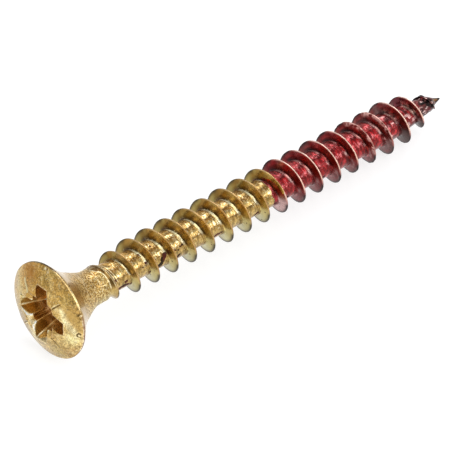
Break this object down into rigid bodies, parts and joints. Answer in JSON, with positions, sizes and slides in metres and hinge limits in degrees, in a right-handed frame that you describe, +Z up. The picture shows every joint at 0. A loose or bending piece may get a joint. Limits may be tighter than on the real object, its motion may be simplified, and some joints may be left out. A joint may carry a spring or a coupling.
{
  "type": "all-purpose screw",
  "caption": "Raised countersunk wood screw with a cross recess, bare neck, coarse rolled thread to a gimlet point, yellow-passivated with a red lacquered tip half.",
  "frame": {"origin": "on the floor plane, under the middle of the lying screw's bounding box", "axes": "+X towards the head end and -X towards the point, seen from above; +Z up. The screw lies on the edge of its head and on one thread crest near the point, so its own axis leans 3.3 degrees down towards the point in the XZ plane"},
  "size_m": [0.0398, 0.0078, 0.0077],
  "materials": {
    "screw_steel": "yellow passivated steel, satin and speckled; the point half is dipped in a translucent red lacquer that is worn off the thread crests and near the point"
  },
  "bodies": {
    "root": {"screw": "screw_steel"}
  },
  "joints": []
}
